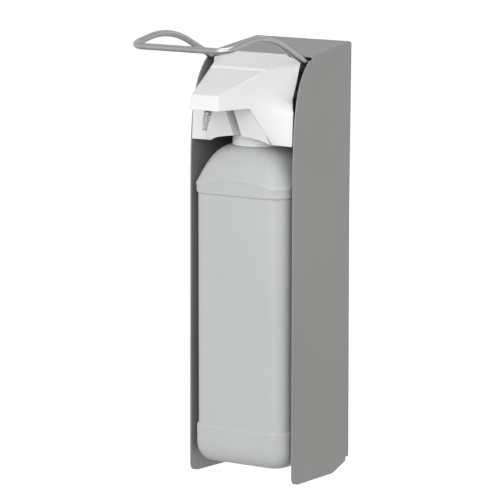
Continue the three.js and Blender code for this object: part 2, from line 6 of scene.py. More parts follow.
# %% Load the frame
import json
import math

import bpy
import numpy as np
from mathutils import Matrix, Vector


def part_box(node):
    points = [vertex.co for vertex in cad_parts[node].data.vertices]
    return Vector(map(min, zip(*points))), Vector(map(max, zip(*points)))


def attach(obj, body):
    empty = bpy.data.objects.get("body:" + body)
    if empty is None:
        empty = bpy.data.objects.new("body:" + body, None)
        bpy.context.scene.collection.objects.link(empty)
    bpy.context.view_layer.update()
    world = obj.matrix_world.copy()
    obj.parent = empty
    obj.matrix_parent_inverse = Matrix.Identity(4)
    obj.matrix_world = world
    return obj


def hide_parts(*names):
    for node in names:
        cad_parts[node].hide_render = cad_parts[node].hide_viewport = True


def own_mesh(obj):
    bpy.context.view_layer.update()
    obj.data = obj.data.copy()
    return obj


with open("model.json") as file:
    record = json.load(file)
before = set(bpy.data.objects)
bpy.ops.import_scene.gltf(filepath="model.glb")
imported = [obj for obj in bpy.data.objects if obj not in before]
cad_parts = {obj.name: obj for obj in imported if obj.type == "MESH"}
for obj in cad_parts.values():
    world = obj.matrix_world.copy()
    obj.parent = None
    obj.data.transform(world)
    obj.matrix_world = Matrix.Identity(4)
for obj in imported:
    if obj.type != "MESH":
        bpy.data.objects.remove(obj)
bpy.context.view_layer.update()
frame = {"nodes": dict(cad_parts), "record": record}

MM = 0.001

# %% [markdown]
# Sizes come from the frame. Heights below are millimetres above the foot of the side plates,
# depths are millimetres from the wall (towards the front they are negative), and x is zero in
# the middle. One function turns such points into the frame's metres.

# %% Sizes read from the frame
def extents(node):
    """Lowest and highest corner of a CAD node, in millimetres."""
    low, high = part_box(node)
    return np.array(low) / MM, np.array(high) / MM


house_low, house_high = extents("housing_shell")
FOOT = house_low[2]
SHEET = 1.2
TOP_DEPTH, TOP_DROP = 54.4, 7.1
SIDE_DEPTH = 81.2
SPLAY = 2.63 / SIDE_DEPTH
HALF_WIDTH = house_high[0] + house_low[1] * SPLAY
HEIGHT = house_high[2] - FOOT
PUMP_Y = -56.0
print("housing height", round(HEIGHT, 1), "half width at the wall", round(HALF_WIDTH, 2))


def placed(points):
    """Millimetres from the foot turned into metres in the frame."""
    return (np.asarray(points, float) + (0, 0, FOOT)) * MM


# %% [markdown]
# Every new surface is a grid of points worked out as whole arrays. One helper joins a grid into
# quads, and it can wrap round in either direction and close its ends, so the same helper makes
# sheets, tubes and turned pieces.

# %% Mesh helpers
BEND_POINTS = 16


def grid_faces(rows, columns, wrap_rows=False, wrap_columns=False):
    """Quads of a grid: each joins a point, its right neighbour and the two in the next row."""
    index = np.arange(rows * columns).reshape(rows, columns)
    if wrap_rows:
        index = np.vstack([index, index[:1]])
    if wrap_columns:
        index = np.hstack([index, index[:, :1]])
    quads = [index[:-1, :-1], index[:-1, 1:], index[1:, 1:], index[1:, :-1]]
    return np.stack(quads, -1).reshape(-1, 4)


def grid_mesh(name, points, wrap_rows=False, wrap_columns=False, close_ends=False):
    """A mesh from an array of shape (rows, columns, 3) in millimetres from the foot."""
    rows, columns, _ = points.shape
    faces = grid_faces(rows, columns, wrap_rows, wrap_columns).tolist()
    if close_ends:
        faces.append(list(range(columns - 1, -1, -1)))
        faces.append(list(range((rows - 1) * columns, rows * columns)))
    mesh = bpy.data.meshes.new(name)
    mesh.from_pydata(placed(points.reshape(-1, 3)).tolist(), [], faces)
    mesh.validate()
    return mesh


def add_piece(name, mesh, body, material, stands_for):
    """Links a finished mesh, and tells the frame what it rides on and what it stands for."""
    piece = bpy.data.objects.new(name, mesh)
    bpy.context.scene.collection.objects.link(piece)
    mesh.materials.clear()
    mesh.materials.append(material)
    mesh.shade_smooth()
    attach(piece, body)
    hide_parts(*stands_for)
    print(name, len(mesh.polygons), "faces, rides on", body)
    return piece


def soften_edges(piece, width, angle):
    """A narrow round on every edge sharper than the angle, with flat faces kept flat."""
    bevel = piece.modifiers.new("edge round", "BEVEL")
    bevel.width = width * MM
    bevel.segments = 2
    bevel.limit_method = "ANGLE"
    bevel.angle_limit = math.radians(angle)
    bevel.use_clamp_overlap = True
    even = piece.modifiers.new("even shading", "WEIGHTED_NORMAL")
    even.keep_sharp = True


def smooth_step(value, low, high):
    """0 below low, 1 above high, and 3t^2 - 2t^3 between them."""
    t = np.clip((value - low) / (high - low), 0, 1)
    return t * t * (3 - 2 * t)


def rounded_path(corners, tangents):
    """Points along straight runs joined by parabolic bends.

    A bend starts and ends one tangent length from its corner, and between them a point is the
    sum of (1-t)^2 of the start, 2t(1-t) of the corner and t^2 of the end.
    """
    corners = np.asarray(corners, float)
    toward = np.diff(corners, axis=0)
    lengths = np.linalg.norm(toward, axis=1)[:, None]
    unit = toward / lengths
    inner = corners[1:-1]
    reach = np.asarray(tangents, float)[:, None]
    start, end = inner - unit[:-1] * reach, inner + unit[1:] * reach
    t = np.linspace(0, 1, BEND_POINTS)[None, :, None]
    start_share, corner_share, end_share = (1 - t) ** 2, 2 * t * (1 - t), t ** 2
    bends = (start_share * start[:, None] + corner_share * inner[:, None]
             + end_share * end[:, None])
    return np.vstack([corners[:1], bends.reshape(-1, 3), corners[-1:]])


def evenly(path, count):
    """The same line with a given number of points, spaced evenly along its length."""
    path = np.asarray(path, float)
    steps = np.linalg.norm(np.diff(path, axis=0), axis=1)
    keep = np.concatenate([[True], steps > 1e-9])
    path = path[keep]
    along = np.concatenate([[0], np.cumsum(np.linalg.norm(np.diff(path, axis=0), axis=1))])
    at = np.linspace(0, along[-1], count)
    return np.stack([np.interp(at, along, path[:, k]) for k in range(path.shape[1])], -1)


def tube_points(path, radius, sides, reference):
    """A round tube: each ring lies in the plane across the path's direction.

    The ring's first axis is direction x reference, its second is direction x first axis, and a
    point is centre + radius (cos a first + sin a second). Radius may change along the path.
    """
    direction = np.gradient(path, axis=0)
    direction /= np.linalg.norm(direction, axis=1)[:, None]
    first = np.cross(direction, np.asarray(reference, float))
    first /= np.linalg.norm(first, axis=1)[:, None]
    second = np.cross(direction, first)
    angle = np.linspace(0, 2 * np.pi, sides, endpoint=False)[None, :, None]
    radius = np.broadcast_to(np.asarray(radius, float), len(path))[:, None, None]
    ring = np.cos(angle) * first[:, None] + np.sin(angle) * second[:, None]
    return path[:, None] + radius * ring


def turned_points(profile, sides):
    """A profile of (radius, height) swept round the pump's upright axis."""
    profile = np.asarray(profile, float)
    angle = np.linspace(0, 2 * np.pi, sides, endpoint=False)[None, :]
    x = profile[:, :1] * np.cos(angle)
    y = PUMP_Y + profile[:, :1] * np.sin(angle)
    return np.stack([x, y, np.broadcast_to(profile[:, 1:], x.shape)], -1)


# %% [markdown]
# Finishes. A finish is a short chain of nodes: noises read from Object coordinates, so that they
# stay put on the piece, drive roughness, a faint change of colour and a fine bump. Metallic, index
# of refraction and other numbers that don't vary are set straight on the shader.

# %% Finish helper
def new_finish(name, **sockets):
    """A Principled material with the given sockets set, returned with its node tree."""
    material = bpy.data.materials.new(name)
    material.use_nodes = True
    nodes = material.node_tree.nodes
    shader = nodes["Principled BSDF"]
    for socket, value in sockets.items():
        shader.inputs[socket.replace("_", " ")].default_value = value
    return material, nodes, material.node_tree.links, shader


def object_noise(nodes, links, scale, detail, stretch=(1, 1, 1)):
    """Noise on Object coordinates, stretched by the given factors."""
    coordinate = nodes.new("ShaderNodeTexCoord")
    mapping = nodes.new("ShaderNodeMapping")
    mapping.inputs["Scale"].default_value = stretch
    noise = nodes.new("ShaderNodeTexNoise")
    noise.inputs["Scale"].default_value = scale
    noise.inputs["Detail"].default_value = detail
    links.new(coordinate.outputs["Object"], mapping.inputs["Vector"])
    links.new(mapping.outputs["Vector"], noise.inputs["Vector"])
    return noise


def vary_colour(nodes, links, shader, source, low, high):
    """Base colour from low to high as the noise goes through its middle range."""
    ramp = nodes.new("ShaderNodeValToRGB")
    for element, position, colour in zip(ramp.color_ramp.elements, (0.3, 0.7), (low, high)):
        element.position = position
        element.color = (*colour, 1)
    links.new(source.outputs["Fac"], ramp.inputs["Fac"])
    links.new(ramp.outputs["Color"], shader.inputs["Base Color"])


def add_bump(nodes, links, shader, source, strength, distance):
    """Fine relief from a noise, by a height in metres."""
    bump = nodes.new("ShaderNodeBump")
    bump.inputs["Strength"].default_value = strength
    bump.inputs["Distance"].default_value = distance
    links.new(source.outputs["Fac"], bump.inputs["Height"])
    links.new(bump.outputs["Normal"], shader.inputs["Normal"])


def vary_roughness(nodes, links, shader, source, low, high):
    """Roughness from low to high as the noise goes from 0 to 1."""
    spread = nodes.new("ShaderNodeMapRange")
    spread.inputs["To Min"].default_value = low
    spread.inputs["To Max"].default_value = high
    links.new(source.outputs["Fac"], spread.inputs["Value"])
    links.new(spread.outputs["Result"], shader.inputs["Roughness"])


# %% [markdown]
# The housing is satin sheet: silk-matt, neutral grey, with a short upright grain that is only
# just there. A noise drawn out along the grain gives the streaks.

# %% Satin sheet
def satin_sheet():
    """Grey sheet with an upright grain in its roughness and relief."""
    material, nodes, links, shader = new_finish("satin_sheet", Metallic=0.3)
    grain = object_noise(nodes, links, 260, 4, (1, 1, 0.035))
    cloud = object_noise(nodes, links, 9, 2)
    vary_colour(nodes, links, shader, cloud, (0.278, 0.278, 0.272), (0.302, 0.302, 0.295))
    vary_roughness(nodes, links, shader, grain, 0.42, 0.54)
    add_bump(nodes, links, shader, grain, 0.16, 0.00006)
    return material


# %% [markdown]
# The bow and the small hardware are bare steel, rubbed to a satin shine. Drawn wire has faint
# lengthways and round marks, so its noise is fine and even, and its roughness is lower.

# %% Satin steel
def satin_steel():
    """Bare steel with fine even marks."""
    material, nodes, links, shader = new_finish("satin_steel", Metallic=1.0)
    marks = object_noise(nodes, links, 900, 3)
    cloud = object_noise(nodes, links, 30, 2)
    vary_colour(nodes, links, shader, cloud, (0.43, 0.43, 0.425), (0.48, 0.48, 0.475))
    vary_roughness(nodes, links, shader, marks, 0.26, 0.36)
    add_bump(nodes, links, shader, marks, 0.08, 0.00003)
    return material


# %% [markdown]
# Moulded plastics differ in colour, in how much light goes into them, and in the texture of the
# mould. The white is a fine spark-eroded matt, the grey is coarser, the bottle's natural plastic
# is milky and lets light through, and the spout's tip is clear.

# %% Moulded plastics
def moulded_plastic(name, low, high, rough, texture_scale, relief, scatter=0.0):
    """A plastic between two colours, with a mould texture and light scattered inside it."""
    material, nodes, links, shader = new_finish(name, IOR=1.5)
    shader.inputs["Subsurface Weight"].default_value = scatter
    shader.inputs["Subsurface Scale"].default_value = 0.004
    shader.inputs["Subsurface Radius"].default_value = (1.0, 1.0, 0.95)
    texture = object_noise(nodes, links, texture_scale, 2)
    cloud = object_noise(nodes, links, 14, 2)
    vary_colour(nodes, links, shader, cloud, low, high)
    vary_roughness(nodes, links, shader, texture, rough - 0.05, rough + 0.05)
    add_bump(nodes, links, shader, texture, 0.12, relief)
    return material


def clear_plastic():
    """Clear plastic that is a little uneven, so that it isn't quite like glass."""
    material, nodes, links, shader = new_finish("clear_plastic", IOR=1.46)
    shader.inputs["Transmission Weight"].default_value = 0.85
    cloud = object_noise(nodes, links, 300, 2)
    vary_colour(nodes, links, shader, cloud, (0.62, 0.62, 0.61), (0.70, 0.70, 0.69))
    vary_roughness(nodes, links, shader, cloud, 0.04, 0.10)
    return material


finishes = {
    "brushed_sheet": satin_sheet(),
    "bare_steel": satin_steel(),
    "white_plastic": moulded_plastic(
        "white_plastic", (0.76, 0.76, 0.755), (0.79, 0.79, 0.785), 0.5, 1600, 0.00003),
    "grey_plastic": moulded_plastic(
        "grey_plastic", (0.30, 0.305, 0.30), (0.34, 0.345, 0.34), 0.55, 1200, 0.00005),
    "natural_plastic": moulded_plastic(
        "natural_plastic", (0.49, 0.498, 0.503), (0.52, 0.528, 0.533), 0.42, 700, 0.00004, 0.3),
    # The cap is the bottle's natural plastic painted lighter: painted light against the shade that
    # falls on it under the hood.
    "cap_painted_light_plastic": moulded_plastic(
        "cap_painted_light_plastic", (0.70, 0.71, 0.71), (0.74, 0.75, 0.75), 0.42, 700, 0.00004, 0.3),
    "clear_plastic": clear_plastic(),
    "black_rubber": moulded_plastic(
        "black_rubber", (0.018, 0.018, 0.018), (0.03, 0.03, 0.03), 0.75, 900, 0.00008),
}
print("finishes", ", ".join(finishes))

# %% [markdown]
# The camera looks at the dispenser from its right front and a little from above, from far away
# through a long lens, so that the upright edges stay almost parallel.

# %% Camera
def aim_object(item, side, up, back, place):
    """Turns and places an object by the directions of its three axes, one column each."""
    item.matrix_world = [[*side, 0], [*up, 0], [*back, 0], [*place, 1]]


AZIMUTH, ELEVATION = math.radians(35.356), math.radians(8.736)
DISTANCE, SIDE_AIM, HIGH_AIM = 2858.0, -40.4, 163.9
LENS_PER_SENSOR = 7.34

back = np.array([math.sin(AZIMUTH) * math.cos(ELEVATION),
                 -math.cos(AZIMUTH) * math.cos(ELEVATION), math.sin(ELEVATION)])
right = np.array([math.cos(AZIMUTH), math.sin(AZIMUTH), 0.0])
above = np.cross(back, right)
eye = placed(right * SIDE_AIM + above * HIGH_AIM + back * DISTANCE)

lens = bpy.data.cameras.new("view")
lens.sensor_width = 36.0
lens.lens = LENS_PER_SENSOR * lens.sensor_width
lens.clip_end = 20.0
camera = bpy.data.objects.new("view", lens)
bpy.context.scene.collection.objects.link(camera)
aim_object(camera, right, above, back, eye)
bpy.context.scene.camera = camera
print("camera at", np.round(eye, 3))

# %% [markdown]
# The housing is one sheet folded twice. It is drawn as one grid that runs from the right foot,
# up the right plate, round the bend, across the top and down to the left foot. Each row crosses
# the plate from its rear edge to its front edge, so the outline of the plate is followed closely.

# %% Housing
BEND, BEND_ROWS = 2.2, 8
PLATE_COLUMNS, TOP_ROWS = 22, 13
LEAN_START = 150.0
REAR_EDGE = np.array([[-25.6, 0], [-6.6, 6.4], [-6, 18], [0, HEIGHT]])
FRONT_FOOT = np.array([[-74, 0], [-82.3, 0], [-82.3, 8]])
FRONT_CROWN = np.array([[-SIDE_DEPTH, 230], [-80.5, 285], [-76, 308],
                        [-TOP_DEPTH, HEIGHT - TOP_DROP]])


def plate_edges(height):
    """Depth of the rear and the front edge of a side plate at given heights above the foot.

    The front edge is a round foot, a long straight run and a crown that leans back to the top.
    The foot is (1-t)^2, 2t(1-t), t^2 of its three points, and the crown is (1-t)^3,
    3t(1-t)^2, 3t^2(1-t), t^3 of its four.
    """
    t = np.linspace(0, 1, 40)[:, None]
    foot = np.hstack([(1 - t) ** 2, 2 * t * (1 - t), t ** 2]) @ FRONT_FOOT
    cubic = np.hstack([(1 - t) ** 3, 3 * t * (1 - t) ** 2, 3 * t ** 2 * (1 - t), t ** 3])
    crown = cubic @ FRONT_CROWN
    front = np.vstack([foot, crown])
    return (np.interp(height, REAR_EDGE[:, 1], REAR_EDGE[:, 0]),
            np.interp(height, front[:, 1], front[:, 0]))


def housing_points():
    """Half of the sheet as rows from the foot to the middle of the top, then mirrored.

    The front edge of a row sinks below its rear edge by a smooth step, so the rows end up
    parallel to the sloping top.
    """
    straight = HEIGHT - BEND
    rear_z = np.concatenate([np.linspace(0, 20, 16), np.linspace(26, 215, 24),
                             np.linspace(220, straight, 60)])
    front_z = rear_z - TOP_DROP * smooth_step(rear_z, LEAN_START, straight)
    rear_y, _ = plate_edges(rear_z)
    _, front_y = plate_edges(front_z)
    front_y[-1] = -TOP_DEPTH
    across = np.linspace(0, 1, PLATE_COLUMNS)[None, :]
    y = rear_y[:, None] * (1 - across) + front_y[:, None] * across
    z = rear_z[:, None] * (1 - across) + front_z[:, None] * across
    x = np.full_like(y, HALF_WIDTH) - SPLAY * y
    plate = np.stack([x, y, z], -1)

    turn = np.linspace(0, np.pi / 2, BEND_ROWS + 1)[1:, None]
    top_y = -TOP_DEPTH * across
    fall = TOP_DROP * across
    corner = np.stack(np.broadcast_arrays(
        HALF_WIDTH - SPLAY * top_y - BEND * (1 - np.cos(turn)), top_y,
        straight - fall + BEND * np.sin(turn)), -1)
    inward = np.linspace(1, 0, TOP_ROWS + 1)[1:, None]
    flat = np.stack(np.broadcast_arrays(
        inward * (HALF_WIDTH - BEND - SPLAY * top_y), top_y, HEIGHT - fall), -1)
    half = np.vstack([plate, corner, flat])
    other = half[-2::-1] * (-1, 1, 1)
    return np.vstack([half, other])


housing = add_piece("housing", grid_mesh("housing", housing_points()[:, ::-1]), "housing",
                    finishes["brushed_sheet"], ["housing_shell"])
skin = housing.modifiers.new("sheet", "SOLIDIFY")
skin.thickness = SHEET * MM
skin.offset = -1.0
skin.use_even_offset = True
soften_edges(housing, 0.28, 50)

# %% [markdown]
# The lever is one wire, bent into a bow: in from the right on the lever's axis, forward over a
# hump, across the front and back again. A tube is carried along that path.

# %% Lever bow
PIVOT_Y, PIVOT_Z = -16.0, 298.0
WIRE, END_ROUND = 2.47, 0.5
bow_half = np.array([[24, PIVOT_Y, PIVOT_Z], [41.4, PIVOT_Y, PIVOT_Z], [43.8, -112, 343.8],
                     [43.8, -160, 334.5]])
bow_corners = np.vstack([bow_half, bow_half[::-1] * (-1, 1, 1)])
bow_path = evenly(rounded_path(bow_corners, [5, 26, 12, 12, 26, 5]), 420)
bow_radius = np.full(len(bow_path), WIRE)
bow_radius[[0, -1]] -= END_ROUND
bow_mesh = grid_mesh("bow", tube_points(bow_path, bow_radius, 28, (0, 0, 1)),
                     wrap_columns=True, close_ends=True)
add_piece("bow", bow_mesh, "lever", finishes["bare_steel"], ["lever_bow"])

# %% [markdown]
# The hood is a thin moulding with flat facets, soft edges and a hollow sweep from its beak out
# to the cheeks. It is drawn as a coarse cage of a few patches, given its wall thickness, and then
# subdivided. An edge between two patches keeps part of its sharpness, which leaves a small round.

# %% Cage helpers
def blend_points(start, end, t):
    """A straight blend from start to end, for arrays of points."""
    return start * (1 - t) + end * t


def bilinear(corners, across, up):
    """A flat or gently twisted patch through four corners, as a grid of up x across cells.

    A point is the blend along the lower edge and the blend along the upper edge, blended by v.
    """
    a, b, c, d = (np.asarray(p, float) for p in corners)
    u = np.linspace(0, 1, across + 1)[None, :, None]
    v = np.linspace(0, 1, up + 1)[:, None, None]
    return blend_points(blend_points(a, b, u), blend_points(d, c, u), v)


def along_stops(stops, t):
    """Points on the line through the stops, where t runs from 0 to 1 over equal legs."""
    stops = np.asarray(stops, float)
    at = np.linspace(0, 1, len(stops))
    return np.stack([np.interp(t, at, stops[:, k]) for k in range(3)], -1)


def swept_patch(inner, control, outer, across, up):
    """A patch bent across: (1-u)^2 of the inner edge, 2u(1-u) of the control, u^2 of the outer."""
    v = np.linspace(0, 1, up + 1)
    u = np.linspace(0, 1, across + 1)[None, :, None]
    a, b, c = (along_stops(line, v)[:, None] for line in (inner, control, outer))
    return (1 - u) ** 2 * a + 2 * u * (1 - u) * b + u ** 2 * c


def cage_mesh(name, patches, crease, limit):
    """Joins patches where their points meet, and creases the edges between unlike patches.

    An edge is creased when its two faces come from different patches and their normals differ
    by more than the limit, in degrees.
    """
    points = np.vstack([patch.reshape(-1, 3) for patch in patches])
    faces, group, start = [], [], 0
    for number, patch in enumerate(patches):
        quads = grid_faces(*patch.shape[:2]) + start
        faces.append(quads)
        group.append(np.full(len(quads), number))
        start += patch.shape[0] * patch.shape[1]
    faces, group = np.vstack(faces), np.concatenate(group)
    _, first, same = np.unique(np.round(points, 2), axis=0,
                               return_index=True, return_inverse=True)
    points, faces = points[first], same.reshape(-1)[faces]
    normal = np.cross(points[faces[:, 2]] - points[faces[:, 0]],
                      points[faces[:, 3]] - points[faces[:, 1]])
    normal /= np.linalg.norm(normal, axis=1)[:, None]

    rim = np.stack([faces, np.roll(faces, -1, axis=1)], -1).reshape(-1, 2)
    owner = np.repeat(np.arange(len(faces)), 4)
    key = np.sort(rim, axis=1) @ (len(points), 1)
    order = np.argsort(key, kind="stable")
    twin = key[order][:-1] == key[order][1:]
    left, right_side = owner[order][:-1][twin], owner[order][1:][twin]
    turn = np.degrees(np.arccos(np.clip((normal[left] * normal[right_side]).sum(1), -1, 1)))
    sharp = key[order][:-1][twin][(group[left] != group[right_side]) & (turn > limit)]

    no_repeats = [list(dict.fromkeys(face)) for face in faces.tolist()]
    mesh = bpy.data.meshes.new(name)
    mesh.from_pydata(placed(points).tolist(), [], [face for face in no_repeats if len(face) > 2])
    mesh.update()
    ends = np.empty(len(mesh.edges) * 2, int)
    mesh.edges.foreach_get("vertices", ends)
    edge_key = np.sort(ends.reshape(-1, 2), axis=1) @ (len(points), 1)
    weight = mesh.attributes.new("crease_edge", "FLOAT", "EDGE")
    creased = np.where(np.isin(edge_key, sharp), crease, 0).astype(np.float32)
    weight.data.foreach_set("value", creased)
    print(name, "cage:", len(mesh.polygons), "faces,", len(sharp), "creased edges")
    return mesh


# %% [markdown]
# The hood's outline points: the nose, the knee where the beak's side turns out into the cheek,
# the flat facet behind the slope with its raised edge, and the corner beside the lever's slot.

# %% Hood
HOOD_WALL, HOOD_LEVELS = 2.0, 3
CREASE, CREASE_LIMIT, WALL_CREASE = 0.5, 9, 0.7
nose_low, nose_top = np.array([13.2, -129.8, 286.4]), np.array([12, -128, 297.3])
knee_low, knee_top = np.array([22.5, -101.5, 286.4]), np.array([20.4, -101, 307.5])
facet_front, facet_back = np.array([25, -86.1, 313.2]), np.array([25, -55.9, 322.3])
cheek_low, shoulder = np.array([28.1, -81.3, 257.4]), np.array([37.5, -58.5, 319.2])
middle = np.array([0, 1, 1])
along_facet = (facet_back - facet_front) / np.linalg.norm(facet_back - facet_front)
off_facet = np.array([0, -along_facet[2], along_facet[1]])
FRONT_LIP, SIDE_LIP, LIP_RISE = 1.5, 1.15, 1.15
raised_front = facet_front + along_facet * FRONT_LIP - (SIDE_LIP, 0, 0) + off_facet * LIP_RISE
raised_back = facet_back - (SIDE_LIP, 0, 0) + off_facet * LIP_RISE


def right_half_of_hood():
    """Patches of the right half, each with its corners in turn so that it faces out."""
    nose = bilinear([nose_low * middle, nose_low, nose_top, nose_top * middle], 2, 4)
    slope = bilinear([nose_top * middle, nose_top, knee_top, knee_top * middle], 2, 3)
    slope_back = bilinear([knee_top * middle, knee_top, facet_front, facet_front * middle], 2, 4)
    facet = bilinear([raised_front * middle, raised_front, raised_back, raised_back * middle], 2, 4)
    front_lip = bilinear([facet_front * middle, facet_front, raised_front,
                          raised_front * middle], 2, 1)
    side_lip = bilinear([raised_front, facet_front, facet_back, raised_back], 1, 4)
    chamfer = bilinear([facet_front, facet_front, shoulder, facet_back], 2, 4)
    side = bilinear([nose_low, knee_low, knee_top, nose_top], 3, 4)
    cheek = swept_patch(
        [cheek_low, knee_low, knee_top, facet_front, shoulder],
        [[36, -81.3, 257.4], [28.5, -84.5, 284], [28, -80.5, 299], [31, -72, 310],
         [38.5, -59.5, 318.9]],
        [[45.9, -81.3, 257.4], [45.9, -79.3, 283], [39.5, -70.4, 291], [39.5, -64.6, 305],
         [39.5, -60.5, 318.4]], 5, 16)
    return [nose, slope, slope_back, facet, front_lip, side_lip, chamfer, side, cheek]


right_patches = right_half_of_hood()
left_patches = [patch[:, ::-1] * (-1, 1, 1) for patch in right_patches]
hood_mesh = cage_mesh("hood", right_patches + left_patches, CREASE, CREASE_LIMIT)
hood = add_piece("hood", hood_mesh, "housing", finishes["white_plastic"],
                 ["front_hood"])
wall = hood.modifiers.new("wall", "SOLIDIFY")
wall.thickness = HOOD_WALL * MM
wall.offset = -1.0
wall.edge_crease_outer = WALL_CREASE
wall.edge_crease_inner = WALL_CREASE
wall.edge_crease_rim = WALL_CREASE
smooth = hood.modifiers.new("smooth", "SUBSURF")
smooth.levels = HOOD_LEVELS
smooth.render_levels = HOOD_LEVELS

# %% [markdown]
# The bottle is blown into a mould: a rounded box with a rounded foot, a raised band at the foot
# and at the shoulder with a flat panel between them, and a dome that draws in to the neck. It is
# a loft of closed rows. The dome starts along a line that is highest in the middle of each side,
# which gives the arched crease. The inside follows a wall's thickness further in, so light passes.

# %% Bottle sizes and its plan
BOTTLE_LOW, BOTTLE_HIGH = extents("bottle")
BOTTLE_HALF = (BOTTLE_HIGH - BOTTLE_LOW)[:2] / 2 - 0.02
BOTTLE_FOOT, MOUTH = BOTTLE_LOW[2] - FOOT, BOTTLE_HIGH[2] - FOOT
BOTTLE_WALL, CORNER, BAND = 1.2, 14.0, 1.1
FOOT_PULL, FOOT_RISE = 10.0, 14.5
PANEL_LOW, PANEL_HIGH = (38.6, 40.6), (216.9, 218.4)
RIDGE, RIDGE_SPREAD = 0.4, 1.7
SHOULDER, DOME_START, DOME_TOP, DOME_LENGTH = 220.0, 229.7, 254.0, 45.0
ARCH_X, ARCH_Y = 0.0045, 0.00625
NECK_EDGE, NECK = 20.8, 17.0
ARC_POINTS, SIDE_POINTS = 16, 21


def section_plan(half_x, half_y, corner):
    """A rounded rectangle as plan points: each corner arc, then the straight that follows it.

    A corner point is the corner's centre plus its radius times (cos a, sin a).
    """
    sign = np.array([[1, 1], [-1, 1], [-1, -1], [1, -1]], float)[:, None]
    angle = (np.arange(4)[:, None] + np.linspace(0, 1, ARC_POINTS)[None]) * np.pi / 2
    centre = sign * (half_x - corner, half_y - corner)
    arcs = centre + corner * np.stack([np.cos(angle), np.sin(angle)], -1)
    share = np.linspace(0, 1, SIDE_POINTS + 2)[None, 1:-1, None]
    sides = arcs[:, -1:] * (1 - share) + np.roll(arcs[:, :1], -1, axis=0) * share
    return np.concatenate([arcs, sides], axis=1).reshape(-1, 2)


def level_row(plan, height):
    """Plan points lifted to one height."""
    return np.column_stack([plan, np.full(len(plan), height)])


print("bottle", np.round(BOTTLE_HALF * 2, 1), "in section,", round(MOUTH - BOTTLE_FOOT, 1), "high")

# %% [markdown]
# The rows of one skin come in four runs: the foot and the body, the upright strip below the
# crease, the dome, and the neck. A low ridge follows the crease and fades to both sides.

# %% Bottle rows
def ridge_at(distance):
    """The ridge's height e^-(d/spread)^2 at a distance from the crease, ready for plan points."""
    return RIDGE * np.exp(-(distance / RIDGE_SPREAD) ** 2)[..., None]


def foot_and_body(inset):
    """Level rows: the foot is a quarter ellipse, and the panel lies a band's height further in."""
    turn = np.linspace(0, np.pi / 2, 12)
    foot_z = BOTTLE_FOOT + FOOT_RISE * (1 - np.cos(turn)) + inset * np.cos(turn)
    body_z = np.concatenate([np.linspace(28, 46, 34), np.linspace(50, 212, 34),
                             np.linspace(213, SHOULDER, 15)])
    panel = BAND * smooth_step(body_z, *PANEL_LOW) * (1 - smooth_step(body_z, *PANEL_HIGH))
    pulls = np.concatenate([FOOT_PULL * (1 - np.sin(turn)), panel])
    heights = np.concatenate([foot_z, body_z])
    return np.stack([level_row(section_plan(*(BOTTLE_HALF - inset - pull),
                                            max(CORNER - inset - 0.6 * pull, 3)), height)
                     for pull, height in zip(pulls, heights)])


def bottle_rows(inset):
    """Rows of one skin of the bottle from its foot to its mouth, moved in by the inset.

    The crease's height is its start less a share of x squared, and less a share of y squared
    over its value at the front. On the dome a point is pulled towards the neck by
    0.9 t (1-t) + t^2 and rises by 1.94 t (1-t) + t^2 of the way, so it leaves the side steeply.
    """
    rim = section_plan(*(BOTTLE_HALF - inset), CORNER - inset)
    spoke = rim / np.linalg.norm(rim, axis=1)[:, None]
    crease = (DOME_START - inset - ARCH_X * rim[:, 0] ** 2
              - ARCH_Y * (rim[:, 1] ** 2 - BOTTLE_HALF[1] ** 2))
    up = np.linspace(0, 1, 13)[1:, None]
    below = (crease - SHOULDER) * (1 - up)
    strip = np.concatenate([rim + spoke * ridge_at(below), (crease - below)[..., None]], -1)

    t = np.linspace(0, 1, 40)[1:, None]
    inward = (0.9 * t * (1 - t) + t * t)[..., None]
    rise = 1.94 * t * (1 - t) + t * t
    top = DOME_TOP - inset
    plan = rim * (1 - inward) + spoke * (NECK_EDGE - inset) * inward
    plan = plan + spoke * ridge_at(DOME_LENGTH * t)
    dome = np.concatenate([plan, (crease + (top - crease) * rise)[..., None]], -1)

    neck_profile = ((NECK + 0.5, top), (NECK, top + 0.5), (NECK, MOUTH - 0.3), (NECK - 0.3, MOUTH))
    neck = [level_row(spoke * (radius - inset), height) for radius, height in neck_profile]
    return np.concatenate([foot_and_body(inset), strip, dome, np.stack(neck)]) + (0, PUMP_Y, 0)


def close_up(rows):
    """Adds ever smaller rings in the plane of the first and of the last row."""
    shrink = np.array([0.2, 0.5, 0.8, 0.97])[:, None, None]
    first, last = rows[:1].mean(1, keepdims=True), rows[-1:].mean(1, keepdims=True)
    return np.concatenate([first + (rows[:1] - first) * shrink, rows,
                           last + (rows[-1:] - last) * shrink[::-1]])


outer_rows, inner_rows = bottle_rows(0.0), bottle_rows(BOTTLE_WALL)[::-1]
bottle_mesh = grid_mesh("soap_bottle", close_up(np.concatenate([outer_rows, inner_rows])),
                        wrap_columns=True, close_ends=True)
add_piece("soap_bottle", bottle_mesh, "housing", finishes["natural_plastic"],
          ["bottle"])

# %% [markdown]
# The screw cap under the hood is a turned ring. Its wall carries rounded beads, one above the
# other, and draws in a little towards the top.

# %% Screw cap
CAP_LOW, CAP_HIGH = extents("neck_cap")
CAP_RADIUS = (CAP_HIGH - CAP_LOW)[0] / 2 - 0.02
CAP_DROP, CAP_TAPER, BEADS, BEAD_RISE = 0.5, 1.0, 3, 0.3
CAP_BORE, CAP_HOLE, CAP_CEILING = 19.2, 8.9, 263.1

